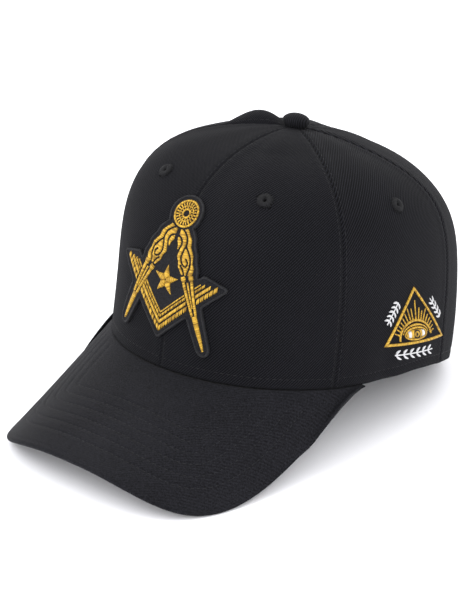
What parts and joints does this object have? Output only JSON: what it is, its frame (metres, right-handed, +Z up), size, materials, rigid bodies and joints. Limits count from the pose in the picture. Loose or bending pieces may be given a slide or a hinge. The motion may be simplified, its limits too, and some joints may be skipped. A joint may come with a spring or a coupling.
{
  "type": "masonic baseball cap",
  "caption": "Structured panelled twill cap with a curved bill, top button, stitched eyelets, a compasses-and-square front patch and an eye-in-triangle side emblem.",
  "frame": {"origin": "on the surface that the cap rests on, under the middle of its bounding box", "axes": "+Z up, the bill points to -Y and the wearer's left is +X. The cap rests by itself on the back of its rim and the side tips of its bill, so its rim is tipped back by 11 degrees"},
  "size_m": [0.17, 0.2646, 0.1517],
  "materials": {
    "black_twill": "black cotton twill with a fine diagonal rib",
    "black_cotton": "black cotton thread and covered button",
    "black_felt": "black felt with an overlocked border",
    "gold_thread": "gold satin stitch, silky",
    "white_thread": "white satin stitch, silky"
  },
  "bodies": {
    "root": {"panel_front_left": "black_twill", "panel_front_right": "black_twill", "panel_side_left": "black_twill", "panel_side_right": "black_twill", "panel_back_left": "black_twill", "panel_back_right": "black_twill", "bill": "black_twill", "top_button": "black_cotton", "eyelet_front_left": "black_cotton", "eyelet_front_right": "black_cotton", "eyelet_side_left": "black_cotton", "eyelet_side_right": "black_cotton", "eyelet_back_left": "black_cotton", "eyelet_back_right": "black_cotton", "patch_felt": "black_felt", "compasses": "gold_thread", "square": "gold_thread", "star": "gold_thread", "triangle_frame": "gold_thread", "sunburst": "gold_thread", "eye": "gold_thread", "sprig_front": "white_thread", "sprig_back": "white_thread", "sprig_base": "white_thread"}
  },
  "joints": []
}
